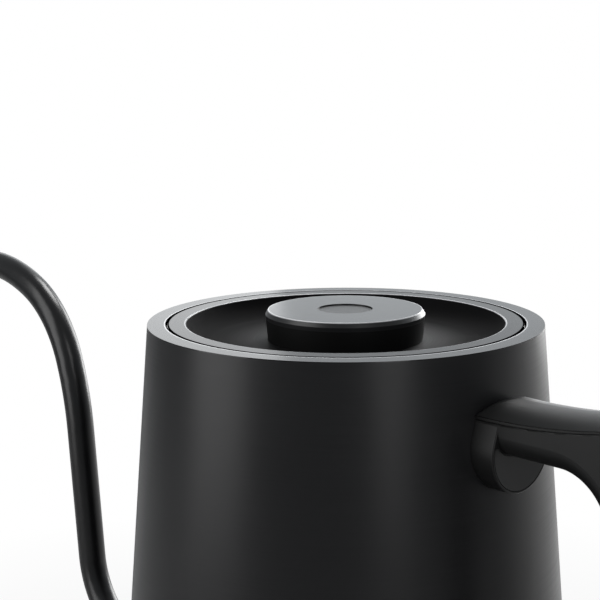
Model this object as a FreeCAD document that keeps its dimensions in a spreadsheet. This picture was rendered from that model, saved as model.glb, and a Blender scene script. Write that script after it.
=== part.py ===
import FreeCAD, Part
import math
import os

import Sketcher
from FreeCAD import Placement, Rotation, Vector

# Gooseneck kettle for pour-over coffee, in millimetres.
# Origin: centre of the flat base. +X points along the handle, -X along the spout, +Z up.

DOC = FreeCAD.newDocument("gooseneck_kettle")

SIZES = [
    ("height", 128.0, "base to rim plane"),
    ("rim_r", 43.0, "outer radius of the cone at the rim"),
    ("base_r", 53.4, "outer radius of the cone at the base"),
    ("wall", 0.8, "sheet of body, bottom and spout root"),
    ("rim_ring", 4.1, "width of the flat ring turned in at the rim"),
    ("rim_lip", 1.8, "turned-down depth of that ring"),
    ("collar_ledge", 2.0, "ledge that carries the lid flange"),
    ("collar_depth", 13.0, "rim plane to the lower edge of the mouth collar"),
    ("lid_gap", 0.35, "radial gap round the lid flange"),
    ("flange_t", 0.9, "lid flange thickness"),
    ("flange_w", 3.85, "flat width of the lid flange"),
    ("dish_t", 0.6, "sheet of the lid dish"),
    ("dish_depth", 4.1, "rim plane to the dish floor at the knob"),
    ("dish_blend", 5.0, "radius between dish wall and floor"),
    ("dish_edge", 0.4, "rounding of the flange's inner edge"),
    ("dish_inset", 1.4, "inward lean of the dish wall"),
    ("cup_gap", 1.0, "radial gap between lid cup and mouth collar"),
    ("cup_t", 0.6, "sheet of the cup under the lid"),
    ("cup_round", 1.8, "inner radius of the cup's lower edge"),
    ("cup_depth", 10.5, "rim plane to the underside of the cup"),
    ("seal_gap", 0.3, "free gap between seal lip and collar"),
    ("seal_rise", 2.2, "height of the seal's root"),
    ("seal_lip", 0.7, "height of the seal's outer edge"),
    ("seal_drop", 6.0, "rim plane to the top of the seal"),
    ("knob_r", 17.4, "knob radius"),
    ("knob_rise", 2.5, "knob top above the rim plane"),
    ("knob_cap_t", 1.9, "metal top plate of the knob"),
    ("knob_chamfer_w", 0.6, "edge chamfer, across"),
    ("knob_chamfer_z", 1.0, "edge chamfer, down"),
    ("knob_waist", 0.5, "inward taper of the knob side"),
    ("medal_r", 6.0, "shallow round recess in the knob top"),
    ("medal_d", 0.3, "depth of that recess"),
    ("knob_screw_r", 2.0, "knob screw thread radius"),
    ("knob_screw_head_r", 3.8, "knob screw head radius"),
    ("knob_screw_head_t", 1.8, "knob screw head height"),
    ("knob_screw_grip", 2.6, "thread inside the knob"),
    ("washer_t", 0.5, "sheet washers"),
    ("washer_w", 1.4, "washer edge beyond its screw head"),
    ("screw_gap", 0.15, "radial gap round every screw"),
    ("base_rise", 5.0, "height of the outer base cap"),
    ("base_round", 2.6, "edge rounding of the base cap"),
    ("base_t", 0.6, "sheet of the base cap"),
    ("spreader_t", 3.2, "heat spreading disc"),
    ("spreader_gap", 1.4, "radial gap round the disc"),
    ("pan_flange", 6.0, "upturned edge of the inner bottom"),
    ("spout_r", 3.7, "outer radius of the spout tube"),
    ("spout_wall", 0.6, "spout tube wall"),
    ("spout_slant", 15.0, "rise of the spout root, degrees"),
    ("spout_root_z", 18.0, "height of the spout root on the cone"),
    ("root_len", 15.0, "length of the flared root collar"),
    ("root_flare", 4.6, "growth of the root collar at the body"),
    ("root_socket", 5.0, "tube length inside the root collar"),
    ("root_curve", 24.0, "concave radius of the root collar"),
    ("root_bury", 2.5, "blank length inside the cone, trimmed off"),
    ("run_len", 35.6, "body wall to the lower bend"),
    ("bend_r", 22.4, "lower bend radius"),
    ("riser_lean", 5.7, "lean of the riser, degrees"),
    ("riser_len", 35.9, "straight riser"),
    ("neck_a_r", 77.0, "first neck arc"),
    ("neck_a_turn", 15.0, "degrees"),
    ("neck_b_r", 32.5, "tight neck arc"),
    ("neck_b_turn", 46.0, "degrees"),
    ("neck_c_r", 56.5, "easing neck arc"),
    ("neck_c_turn", 21.0, "degrees"),
    ("tip_r", 26.0, "arc that turns the tip down"),
    ("tip_turn", 38.0, "degrees"),
    ("strainer_r", 1.2, "strainer hole radius"),
    ("strainer_pcr", 3.9, "strainer hole circle radius"),
    ("handle_w", 14.4, "width of the handle moulding"),
    ("seam_end_z", 9.65, "rim plane to the seam where the corner starts"),
    ("seam_arc", 150.0, "radius of the arm's gentle upward curve"),
    ("seam_turn", 12.8, "span of that curve, degrees"),
    ("arm_x", 32.0, "rim edge to the start of the outer corner"),
    ("corner_r", 10.0, "outer corner radius at the seam"),
    ("corner_dip", 11.8, "slope of the seam at the corner, degrees"),
    ("arm_under_z", 19.45, "rim plane to the underside of the arm"),
    ("hand_x", 19.0, "rim edge to the start of the inner corner"),
    ("hand_r", 11.0, "inner corner radius"),
    ("grip_out_lean", 4.0, "outward lean of the grip's back, degrees"),
    ("grip_in_lean", 5.5, "outward lean of the grip's front, degrees"),
    ("grip_end_z", 37.0, "base to the lower end of the grip"),
    ("under_round", 4.2, "rounding of the arm's and grip's inner edges"),
    ("end_round", 4.0, "rounding of the grip's lower end, front and back"),
    ("crown_root", 4.35, "height of the crowned cover at the body"),
    ("crown_arm", 2.55, "height of the crowned cover where the corner starts"),
    ("crown_end", 2.5, "height of the crowned cover at the grip end"),
    ("dome_x", 6.0, "wall to where the crown starts to dip towards the body"),
    ("dome_r", 12.5, "radius of that dip along the arm"),
    ("dome_arch", 20.5, "radius of the dipped crown across the arm"),
    ("dome_step", 0.02, "crown ridge to the dip's highest point"),
    ("cover_rib", 1.0, "rib under the cover that drops into the channel"),
    ("seam_inset", 0.45, "depth of the two shadow lines"),
    ("seam_line", 0.2, "height of each shadow line"),
    ("seam_round", 0.3, "rounding of the shell's edge under the lower line"),
    ("bead_inset", 0.08, "bead between the shadow lines, in from the side"),
    ("seam_root_h", 0.95, "shell to crown edge at the body"),
    ("seam_arm_h", 0.62, "shell to crown edge where the corner starts"),
    ("seam_end_h", 0.62, "shell to crown edge at the grip end"),
    ("block_x", 4.45, "wall to the end face of the root block, at the screw"),
    ("block_z", 19.3, "rim plane to the centre of the root block's round"),
    ("block_lean", 17.0, "outward lean of the root block's sides, degrees"),
    ("block_drop", 0.45, "seam to the hidden top of the root block"),
    ("block_round", 0.35, "rounding round the end face"),
    ("plug_rim", 0.5, "moulding left round the screw cover plug"),
    ("plug_horn", 2.1, "underside of the arm to the tips of the plug"),
    ("plug_t", 0.9, "screw cover plug thickness"),
    ("plug_gap", 0.15, "gap round the plug"),
    ("bracket_t", 1.2, "sheet of the handle bracket"),
    ("bracket_w", 9.0, "width of the handle bracket"),
    ("bracket_gap", 0.15, "gap round the bracket in the moulding"),
    ("tongue_z", 16.4, "rim plane to the underside of the bracket tongue"),
    ("tongue_x", 27.0, "rim edge to the end of the tongue"),
    ("leg_gap", 0.05, "gap in front of the bracket leg"),
    ("leg_z", 26.6, "rim plane to the lower end of the bracket"),
    ("screw_z", 23.3, "rim plane to the axis of the handle screw"),
    ("boss_r", 2.5, "threaded boss radius"),
    ("boss_t", 0.95, "boss height on the bracket"),
    ("handle_screw_r", 1.5, "handle screw thread radius"),
    ("handle_head_r", 2.7, "handle screw head radius"),
    ("handle_head_t", 0.95, "handle screw head height"),
    ("handle_washer_t", 0.3, "handle screw washer"),
    ("washer_clear", 0.1, "boss face to washer"),
    ("thread_gap", 0.05, "radial gap of a screw in its thread"),
    ("handle_washer_r", 3.1, "handle screw washer radius"),
    ("handle_drive_r", 1.1, "hex drive of the handle screws, across corners / 2"),
    ("tip_clear", 0.15, "screw tip to the kettle wall"),
    ("tongue_screw_x", 11.0, "rim edge to the first tongue screw"),
    ("tongue_screw_step", 11.0, "pitch of the tongue screws"),
    ("tongue_screw_r", 1.1, "tongue screw thread radius"),
    ("tongue_head_r", 2.1, "tongue screw head radius"),
    ("tongue_head_t", 1.2, "tongue screw head height"),
    ("tongue_screw_len", 2.0, "thread below the tongue"),
]


def make_sheet():
    sheet = DOC.addObject("Spreadsheet::Sheet", "Sizes")
    for row, (alias, value, note) in enumerate(SIZES, start=1):
        sheet.set(f"A{row}", alias)
        sheet.set(f"B{row}", str(value))
        sheet.setAlias(f"B{row}", alias)
        sheet.set(f"C{row}", note)
    DOC.recompute()
    return sheet


class Dim:
    """A size that carries its number and the sheet expression behind it."""

    def __init__(self, value, text):
        self.value = float(value)
        self.text = text

    def __add__(self, other):
        other = dim(other)
        return Dim(self.value + other.value, f"({self.text} + {other.text})")

    def __sub__(self, other):
        other = dim(other)
        return Dim(self.value - other.value, f"({self.text} - {other.text})")

    def __mul__(self, other):
        other = dim(other)
        return Dim(self.value * other.value, f"({self.text} * {other.text})")

    def __truediv__(self, other):
        other = dim(other)
        return Dim(self.value / other.value, f"({self.text} / {other.text})")

    def __neg__(self):
        return dim(0) - self

    def __radd__(self, other):
        return dim(other) + self

    def __rsub__(self, other):
        return dim(other) - self

    def __rmul__(self, other):
        return dim(other) * self


def dim(value):
    if isinstance(value, Dim):
        return value
    return Dim(value, f"({float(value)!r})")


def tand(angle):
    return Dim(math.tan(math.radians(angle.value)), f"tan({angle.text} * 1 deg)")


def cosd(angle):
    return Dim(math.cos(math.radians(angle.value)), f"cos({angle.text} * 1 deg)")


def sind(angle):
    return Dim(math.sin(math.radians(angle.value)), f"sin({angle.text} * 1 deg)")


def sqrtd(size):
    return Dim(math.sqrt(size.value), f"sqrt({size.text})")


class Sizes:
    """Gives each sheet cell as a Dim."""

    def __init__(self, sheet):
        for alias, _, _ in SIZES:
            setattr(self, alias, Dim(sheet.get(alias), f"Sizes.{alias}"))


SHEET = make_sheet()
S = Sizes(SHEET)
BODIES = []


# ---------------------------------------------------------------- helpers

def new_body(label):
    body = DOC.addObject("PartDesign::Body", label)
    body.Label = label
    BODIES.append(body)
    return body


def bind(obj, prop, size):
    obj.setExpression(prop, dim(size).text)


def new_sketch(body, plane, name, shift=None, tilt=None):
    """Sketch on an origin plane. shift moves it along the plane's own x, y, z; tilt turns it about its x."""
    sketch = body.newObject("Sketcher::SketchObject", f"{body.Label}_{name}")
    support = [f for f in body.Origin.OriginFeatures if f.Role == plane][0]
    sketch.AttachmentSupport = [(support, "")]
    sketch.MapMode = "FlatFace"
    if shift is not None:
        turn = Rotation(Vector(1, 0, 0), tilt.value if tilt is not None else 0)
        sketch.AttachmentOffset = Placement(Vector(*[dim(v).value for v in shift]), turn)
        for axis, value in zip("xyz", shift):
            bind(sketch, f"AttachmentOffset.Base.{axis}", value)
        if tilt is not None:
            bind(sketch, "AttachmentOffset.Rotation.Angle", tilt)
    return sketch


def pin_point(sketch, geo, pos, x, y):
    """Holds one sketch point at (x, y) from the origin, both driven by the sheet."""
    for kind, size in (("DistanceX", x), ("DistanceY", y)):
        size = dim(size)
        index = sketch.addConstraint(Sketcher.Constraint(kind, -1, 1, geo, pos, size.value))
        bind(sketch, f"Constraints[{index}]", size)


def arc_between(start, end, radius):
    """Arc from start to end. A positive radius turns left, a negative one right."""
    middle = (start + end) * 0.5
    chord = end - start
    reach = math.sqrt(max(radius * radius - chord.Length ** 2 / 4.0, 0.0))
    left = Vector(-chord.y, chord.x, 0).normalize()
    centre = middle + left * (reach if radius > 0 else -reach)
    a = math.atan2(start.y - centre.y, start.x - centre.x)
    b = math.atan2(end.y - centre.y, end.x - centre.x)
    if radius < 0:
        a, b = b, a
    if b < a:
        b += 2 * math.pi
    return Part.ArcOfCircle(Part.Circle(centre, Vector(0, 0, 1), abs(radius)), a, b)


def draw_loop(sketch, corners):
    """Closed outline. A corner is (x, y), or (x, y, radius) where an arc leads to it."""
    spots = [Vector(dim(c[0]).value, dim(c[1]).value, 0) for c in corners]
    ends = []
    for i, corner in enumerate(corners):
        start, end = spots[i - 1], spots[i]
        if len(corner) == 3:
            radius = dim(corner[2])
            geo = sketch.addGeometry(arc_between(start, end, radius.value), False)
            index = sketch.addConstraint(Sketcher.Constraint("Radius", geo, abs(radius.value)))
            bind(sketch, f"Constraints[{index}]", radius if radius.value > 0 else -radius)
            ends.append((geo, 1, 2) if radius.value > 0 else (geo, 2, 1))
        else:
            geo = sketch.addGeometry(Part.LineSegment(start, end), False)
            ends.append((geo, 1, 2))
    for i, corner in enumerate(corners):
        geo, _, finish = ends[i]
        following, begin, _ = ends[(i + 1) % len(ends)]
        sketch.addConstraint(Sketcher.Constraint("Coincident", geo, finish, following, begin))
        pin_point(sketch, geo, finish, corner[0], corner[1])


def draw_circle(sketch, x, y, radius):
    spot = Vector(dim(x).value, dim(y).value, 0)
    geo = sketch.addGeometry(Part.Circle(spot, Vector(0, 0, 1), dim(radius).value), False)
    index = sketch.addConstraint(Sketcher.Constraint("Radius", geo, dim(radius).value))
    bind(sketch, f"Constraints[{index}]", radius)
    pin_point(sketch, geo, 3, x, y)


def draw_hexagon(sketch, x, y, radius):
    draw_loop(sketch, [
        (x + radius * cosd(dim(60 * step)), y + radius * sind(dim(60 * step))) for step in range(6)
    ])


def draw_axis(sketch, start, end):
    """Construction line for a revolution."""
    a = Vector(dim(start[0]).value, dim(start[1]).value, 0)
    b = Vector(dim(end[0]).value, dim(end[1]).value, 0)
    geo = sketch.addGeometry(Part.LineSegment(a, b), True)
    pin_point(sketch, geo, 1, *start)
    pin_point(sketch, geo, 2, *end)


def draw_route(sketch, start, heading, pieces):
    """Open path of tangent lines and arcs. Pieces are ("line", length) or ("arc", radius, turn)."""
    here = Vector(dim(start[0]).value, dim(start[1]).value, 0)
    angle = heading.value
    before = None
    for piece in pieces:
        along = Vector(math.cos(math.radians(angle)), math.sin(math.radians(angle)), 0)
        size = dim(piece[1])
        if piece[0] == "line":
            there = here + along * size.value
            geo = sketch.addGeometry(Part.LineSegment(here, there), False)
            begin, finish = 1, 2
            index = sketch.addConstraint(Sketcher.Constraint("Distance", geo, size.value))
            bind(sketch, f"Constraints[{index}]", size)
        else:
            turn = dim(piece[2])
            side = 1 if turn.value > 0 else -1
            normal = Vector(-along.y, along.x, 0) * side
            centre = here + normal * size.value
            first = math.atan2(-normal.y, -normal.x)
            last = first + math.radians(turn.value)
            a, b = (first, last) if side > 0 else (last, first)
            geo = sketch.addGeometry(
                Part.ArcOfCircle(Part.Circle(centre, Vector(0, 0, 1), size.value), a, b), False)
            begin, finish = (1, 2) if side > 0 else (2, 1)
            there = centre + Vector(math.cos(last), math.sin(last), 0) * size.value
            index = sketch.addConstraint(
                Sketcher.Constraint("Angle", geo, math.radians(abs(turn.value))))
            bind(sketch, f"Constraints[{index}]", turn if side > 0 else -turn)
            if before is None:
                reach = size * side
                pin_point(sketch, geo, 3, start[0] - reach * sind(heading), start[1] + reach * cosd(heading))
            else:
                index = sketch.addConstraint(Sketcher.Constraint("Radius", geo, size.value))
                bind(sketch, f"Constraints[{index}]", size)
            angle += turn.value
        if before is None:
            pin_point(sketch, geo, begin, *start)
        else:
            sketch.addConstraint(Sketcher.Constraint("Tangent", before[0], before[1], geo, begin))
        if before is None and piece[0] == "line":
            index = sketch.addConstraint(
                Sketcher.Constraint("Angle", geo, math.radians(heading.value)))
            bind(sketch, f"Constraints[{index}]", heading)
        before = (geo, finish)
        here = there
    return here


def revolve(body, name, corners, cut=False):
    """Turns an outline in the XZ plane about the Z axis."""
    sketch = new_sketch(body, "XZ_Plane", name)
    draw_loop(sketch, corners)
    kind = "PartDesign::Groove" if cut else "PartDesign::Revolution"
    turned = body.newObject(kind, f"{body.Label}_{name}_turn")
    turned.Profile = sketch
    turned.ReferenceAxis = (sketch, ["V_Axis"])
    turned.Angle = 360
    DOC.recompute()
    return turned


def pad(body, sketch, length, both_sides=False, reverse=False):
    feature = body.newObject("PartDesign::Pad", f"{sketch.Name}_pad")
    feature.Profile = sketch
    feature.Length = dim(length).value
    bind(feature, "Length", length)
    feature.SideType = "Symmetric" if both_sides else "One side"
    feature.Reversed = reverse
    DOC.recompute()
    return feature


def pocket(body, sketch, length, both_sides=False, reverse=False):
    """Cuts a sketch out of the body and makes sure that it removed something."""
    before = body.Shape.Volume
    feature = body.newObject("PartDesign::Pocket", f"{sketch.Name}_cut")
    feature.Profile = sketch
    feature.Length = dim(length).value
    bind(feature, "Length", length)
    feature.SideType = "Symmetric" if both_sides else "One side"
    feature.Reversed = reverse
    DOC.recompute()
    if not body.Shape.Volume < before - 1e-3:
        raise RuntimeError(f"{feature.Name} removes nothing")
    return feature


def groove(body, name, corners):
    before = body.Shape.Volume
    feature = revolve(body, name, corners, cut=True)
    if not body.Shape.Volume < before - 1e-3:
        raise RuntimeError(f"{feature.Name} removes nothing")
    return feature


def round_edges(body, name, radius, wanted):
    """Fillets the edges of the body that the test wanted(edge) picks."""
    names = []
    for i, edge in enumerate(body.Shape.Edges, start=1):
        if wanted(edge):
            names.append(f"Edge{i}")
    if not names:
        raise RuntimeError(f"{body.Label}: no edge for {name}")
    base = body.Tip
    feature = body.newObject("PartDesign::Fillet", f"{body.Label}_{name}")
    feature.Base = (base, names)
    feature.Radius = dim(radius).value
    bind(feature, "Radius", radius)
    DOC.recompute()
    return feature


def on_ring(*rings):
    """Test for circular edges round Z with the given (radius, height) pairs."""
    def wanted(edge):
        if not isinstance(edge.Curve, Part.Circle):
            return False
        for radius, level in rings:
            same_r = abs(edge.Curve.Radius - dim(radius).value) < 1e-4
            if same_r and abs(edge.Curve.Center.z - dim(level).value) < 1e-4:
                return True
        return False
    return wanted


def cone_r(level):
    """Outer radius of the cone at a height above the base."""
    return S.base_r - (S.base_r - S.rim_r) * level / S.height


def below_rim(depth):
    return S.height - depth


def trim_to_cone(body):
    """Cuts away whatever reaches inside the kettle's outer cone."""
    groove(body, "seat", [
        (0, 0),
        (S.base_r, 0),
        (S.rim_r, S.height),
        (0, S.height),
    ])


def draw_plug(sketch, gap):
    """Outline of the screw cover plug under the arm, drawn a gap inside its seat."""
    reach = BLOCK_R - S.plug_rim - gap
    ledge = S.plug_gap + gap
    tip = UNDER + S.plug_horn - gap
    outer = sqrtd(reach * reach - (tip - BLOCK_CENTRE) * (tip - BLOCK_CENTRE))
    bend = S.under_round + ledge
    rise = UNDER + S.under_round - tip
    flat = HALF_W - S.under_round
    inner = flat + sqrtd(bend * bend - rise * rise)
    draw_loop(sketch, [
        (-outer, tip),
        (0, BLOCK_CENTRE - reach, reach),
        (outer, tip, reach),
        (inner, tip),
        (flat, UNDER - ledge, -bend),
        (-flat, UNDER - ledge),
        (-inner, tip, -bend),
    ])


# ------------------------------------------------------------ kettle body

RIM_BORE = S.rim_r - S.rim_ring
SEAT = below_rim(S.flange_t)
FLANGE_R = RIM_BORE - S.lid_gap
NECK_R = RIM_BORE - S.collar_ledge

shell = new_body("body_shell")
revolve(shell, "wall", [
    (cone_r(S.base_rise), S.base_rise),
    (S.rim_r, S.height),
    (RIM_BORE, S.height),
    (RIM_BORE, below_rim(S.rim_lip)),
    (RIM_BORE + S.wall, below_rim(S.rim_lip)),
    (RIM_BORE + S.wall, below_rim(S.wall)),
    (cone_r(below_rim(S.wall)) - S.wall, below_rim(S.wall)),
    (cone_r(S.base_rise) - S.wall, S.base_rise),
])

collar = new_body("mouth_collar")
revolve(collar, "ring", [
    (NECK_R, SEAT),
    (RIM_BORE, SEAT),
    (RIM_BORE, below_rim(S.rim_lip)),
    (RIM_BORE + S.wall, below_rim(S.rim_lip)),
    (RIM_BORE + S.wall, below_rim(S.rim_lip + S.wall)),
    (NECK_R + S.wall, below_rim(S.rim_lip + S.wall)),
    (NECK_R + S.wall, below_rim(S.collar_depth)),
    (NECK_R, below_rim(S.collar_depth)),
])

PAN_TOP = S.base_t + S.spreader_t + S.wall
pan = new_body("inner_bottom")
revolve(pan, "pan", [
    (0, PAN_TOP),
    (0, S.base_t + S.spreader_t),
    (cone_r(S.base_t + S.spreader_t) - S.wall - S.base_t, S.base_t + S.spreader_t),
    (cone_r(S.base_rise) - S.wall - S.base_t, S.base_rise),
    (cone_r(S.base_rise) - S.wall, S.base_rise),
    (cone_r(PAN_TOP + S.pan_flange) - S.wall, PAN_TOP + S.pan_flange),
    (cone_r(PAN_TOP + S.pan_flange) - S.wall * 2, PAN_TOP + S.pan_flange),
    (cone_r(PAN_TOP) - S.wall * 2 - S.base_t, PAN_TOP),
])

spreader = new_body("heat_spreader")
revolve(spreader, "disc", [
    (0, S.base_t),
    (cone_r(S.base_t) - S.wall - S.spreader_gap - S.base_round, S.base_t),
    (cone_r(S.base_t) - S.wall - S.spreader_gap, S.base_t + S.base_round),
    (cone_r(S.base_t) - S.wall - S.spreader_gap, S.base_t + S.spreader_t),
    (0, S.base_t + S.spreader_t),
])

cap = new_body("base_cap")
revolve(cap, "cap", [
    (0, 0),
    (S.base_r, 0),
    (cone_r(S.base_rise), S.base_rise),
    (cone_r(S.base_rise) - S.base_t, S.base_rise),
    (cone_r(S.base_t) - S.base_t, S.base_t),
    (0, S.base_t),
])
round_edges(cap, "inner_round", S.base_round - S.base_t,
            on_ring((cone_r(S.base_t) - S.base_t, S.base_t)))
round_edges(cap, "outer_round", S.base_round, on_ring((S.base_r, 0)))


# ------------------------------------------------------------------ spout

ROOT_X = -cone_r(S.spout_root_z)
HEADING = 180 - S.spout_slant
SOCKET = S.root_len - S.root_socket


def along_root(distance, side=0):
    """Point in the XZ plane at a distance out along the root axis and to its upper side."""
    x = ROOT_X - distance * cosd(S.spout_slant) + side * sind(S.spout_slant)
    z = S.spout_root_z + distance * sind(S.spout_slant) + side * cosd(S.spout_slant)
    return x, z


tube = new_body("spout_tube")
route = new_sketch(tube, "XZ_Plane", "route")
draw_route(route, along_root(SOCKET), HEADING, [
    ("line", S.run_len - SOCKET),
    ("arc", S.bend_r, -(90 - S.riser_lean - S.spout_slant)),
    ("line", S.riser_len),
    ("arc", S.neck_a_r, S.neck_a_turn),
    ("arc", S.neck_b_r, S.neck_b_turn),
    ("arc", S.neck_c_r, S.neck_c_turn),
    ("arc", S.tip_r, S.tip_turn),
])
start_x, start_z = along_root(SOCKET)
section = new_sketch(tube, "YZ_Plane", "section", (0, start_z, start_x), S.spout_slant)
draw_circle(section, 0, 0, S.spout_r)
draw_circle(section, 0, 0, S.spout_r - S.spout_wall)
sweep = tube.newObject("PartDesign::AdditivePipe", "spout_tube_sweep")
sweep.Profile = section
sweep.Spine = (route, [])
DOC.recompute()

root = new_body("spout_root_collar")
flare = new_sketch(root, "XZ_Plane", "flare")
draw_loop(flare, [
    along_root(S.root_len, S.spout_r),
    along_root(S.root_len, S.spout_r + S.spout_wall),
    along_root(SOCKET, S.spout_r + S.spout_wall),
    (*along_root(-S.root_bury, S.spout_r + S.root_flare), -S.root_curve),
    along_root(-S.root_bury, S.spout_r + S.root_flare - S.wall),
    (*along_root(SOCKET, S.spout_r - S.spout_wall), S.root_curve + S.wall),
    along_root(SOCKET, S.spout_r),
])
draw_axis(flare, along_root(0), along_root(S.root_len))
turned = root.newObject("PartDesign::Revolution", "spout_root_flare_turn")
turned.Profile = flare
turned.ReferenceAxis = (flare, ["Axis0"])
DOC.recompute()
trim_to_cone(root)

hole_x, hole_z = along_root(-S.strainer_pcr)
holes = new_sketch(shell, "YZ_Plane", "strainer", (0, hole_z, hole_x), S.spout_slant)
draw_circle(holes, 0, 0, S.strainer_r)
for step in range(6):
    angle = dim(60 * step)
    draw_circle(holes, S.strainer_pcr * cosd(angle), S.strainer_pcr * sind(angle), S.strainer_r)
pocket(shell, holes, S.strainer_pcr * 2)


# ----------------------------------------------------------------- handle

HALF_W = S.handle_w / 2
ARM_X = S.rim_r + S.arm_x
HAND_X = S.rim_r + S.hand_x
SEAM_END = (ARM_X, below_rim(S.seam_end_z))
SEAM_ROOT = (
    ARM_X - S.seam_arc * (sind(S.corner_dip) - sind(S.corner_dip - S.seam_turn)),
    below_rim(S.seam_end_z) + S.seam_arc * (cosd(S.corner_dip) - cosd(S.corner_dip - S.seam_turn)),
)
CORNER_END = (
    ARM_X + S.corner_r * (sind(S.corner_dip) + cosd(S.grip_out_lean)),
    below_rim(S.seam_end_z) - S.corner_r * (cosd(S.corner_dip) - sind(S.grip_out_lean)),
)
BACK_END = (
    CORNER_END[0] + (CORNER_END[1] - S.grip_end_z) * tand(S.grip_out_lean),
    S.grip_end_z,
)
UNDER = below_rim(S.arm_under_z)
HAND_END = (
    HAND_X + S.hand_r * cosd(S.grip_in_lean),
    UNDER - S.hand_r * (1 - sind(S.grip_in_lean)),
)
FRONT_END = (
    HAND_END[0] + (HAND_END[1] - S.grip_end_z) * tand(S.grip_in_lean),
    S.grip_end_z,
)
BLOCK_CENTRE = below_rim(S.block_z)
BLOCK_TOP = SEAM_ROOT[1] - S.block_drop
BLOCK_R = HALF_W * cosd(S.block_lean) + (BLOCK_TOP - BLOCK_CENTRE) * sind(S.block_lean)
SCREW_Z = below_rim(S.screw_z)
BLOCK_X = cone_r(SCREW_Z) + S.block_x

moulding = new_body("handle_shell")
side = new_sketch(moulding, "XZ_Plane", "side")
draw_loop(side, [
    (SEAM_ROOT[0], UNDER),
    (HAND_X, UNDER),
    (*HAND_END, -S.hand_r),
    FRONT_END,
    BACK_END,
    CORNER_END,
    (*SEAM_END, S.corner_r),
    (*SEAM_ROOT, -S.seam_arc),
])
pad(moulding, side, S.handle_w, both_sides=True)


def on_seam(edge):
    """Long upper edges of the moulding, from the body round the corner and down the back."""
    first, last = [v.Point for v in edge.Vertexes]
    if abs(abs(first.y) - HALF_W.value) > 1e-4 or abs(first.y - last.y) > 1e-4:
        return False
    spots = [Vector(x.value, first.y, z.value) for x, z in (SEAM_ROOT, SEAM_END, CORNER_END, BACK_END)]
    return all(min((p - q).Length for q in spots) < 1e-4 for p in (first, last))


round_edges(moulding, "seam_round", S.seam_round, on_seam)


def on_inner_side(edge):
    """Long edges of the arm's underside and the grip's front."""
    spot = edge.valueAt((edge.FirstParameter + edge.LastParameter) / 2)
    if abs(abs(spot.y) - HALF_W.value) > 1e-4:
        return False
    on_arm = abs(spot.z - UNDER.value) < 1e-4
    reach = math.hypot(spot.x - HAND_X.value, spot.z - UNDER.value + S.hand_r.value)
    on_corner = abs(reach - S.hand_r.value) < 1e-4 and spot.x > HAND_X.value
    slope = math.tan(math.radians(S.grip_in_lean.value))
    on_front = abs(spot.x - FRONT_END[0].value + (spot.z - S.grip_end_z.value) * slope) < 1e-4
    return on_arm or on_corner or on_front


round_edges(moulding, "under_round", S.under_round, on_inner_side)


def round_foot(body):
    """Rounds the lower end of the grip, front and back, through shell and cover alike."""
    ridge = BACK_END[0] + S.crown_end / cosd(S.grip_out_lean)
    front = S.end_round / tand((90 + S.grip_in_lean) / 2)
    back = S.end_round / tand((90 - S.grip_out_lean) / 2)
    front_z = S.grip_end_z + front * cosd(S.grip_in_lean)
    back_z = S.grip_end_z + back * cosd(S.grip_out_lean)
    sketch = new_sketch(body, "XZ_Plane", "foot")
    draw_loop(sketch, [
        (FRONT_END[0] - front * sind(S.grip_in_lean), front_z),
        (FRONT_END[0] + front, S.grip_end_z, S.end_round),
        (ridge - back, S.grip_end_z),
        (ridge - back * sind(S.grip_out_lean), back_z, S.end_round),
        (ridge + S.handle_w, back_z),
        (ridge + S.handle_w, S.grip_end_z - S.handle_w),
        (FRONT_END[0] - S.handle_w, S.grip_end_z - S.handle_w),
        (FRONT_END[0] - S.handle_w, front_z),
    ])
    pocket(body, sketch, S.handle_w * 2, both_sides=True)


round_foot(moulding)

block = new_sketch(moulding, "YZ_Plane", "block", (0, 0, SEAM_ROOT[0]))
draw_loop(block, [
    (-BLOCK_R * cosd(S.block_lean), BLOCK_CENTRE + BLOCK_R * sind(S.block_lean)),
    (0, BLOCK_CENTRE - BLOCK_R, BLOCK_R),
    (BLOCK_R * cosd(S.block_lean), BLOCK_CENTRE + BLOCK_R * sind(S.block_lean), BLOCK_R),
    (HALF_W, BLOCK_TOP),
    (-HALF_W, BLOCK_TOP),
])
pad(moulding, block, BLOCK_X - SEAM_ROOT[0])


def on_end_face(edge):
    """Outline of the root block's end face, below the arm."""
    spots = [v.Point for v in edge.Vertexes]
    flat = all(abs(p.x - BLOCK_X.value) < 1e-4 for p in spots)
    low = any(p.z < UNDER.value - 1e-3 for p in spots)
    return flat and low


round_edges(moulding, "block_round", S.block_round, on_end_face)
trim_to_cone(moulding)

TONGUE_LOW = below_rim(S.tongue_z)
TONGUE_TOP = TONGUE_LOW + S.bracket_t
LEG_END = below_rim(S.leg_z)
TONGUE_END = S.rim_r + S.tongue_x
TONGUE_SCREW_X = S.rim_r + S.tongue_screw_x
LEDGE_X = cone_r(SCREW_Z) + S.bracket_t + S.boss_t + S.washer_clear
HEAD_X = LEDGE_X + S.handle_washer_t

channel = new_sketch(moulding, "XZ_Plane", "channel")
draw_loop(channel, [
    (SEAM_ROOT[0], LEG_END - S.bracket_gap),
    (cone_r(LEG_END) + S.bracket_t + S.leg_gap, LEG_END - S.bracket_gap),
    (cone_r(TONGUE_LOW) + S.bracket_t + S.leg_gap, TONGUE_LOW),
    (TONGUE_END + S.bracket_gap, TONGUE_LOW),
    (TONGUE_END + S.bracket_gap, S.height),
    (SEAM_ROOT[0], S.height),
])
pocket(moulding, channel, S.bracket_w + S.bracket_gap * 2, both_sides=True)

plug_seat = new_sketch(moulding, "YZ_Plane", "plug_seat", (0, 0, BLOCK_X))
draw_plug(plug_seat, 0)
pocket(moulding, plug_seat, S.plug_t)

head_seat = new_sketch(moulding, "YZ_Plane", "head_seat", (0, 0, BLOCK_X))
draw_circle(head_seat, 0, SCREW_Z, S.handle_washer_r + S.screw_gap)
pocket(moulding, head_seat, BLOCK_X - LEDGE_X)

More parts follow.
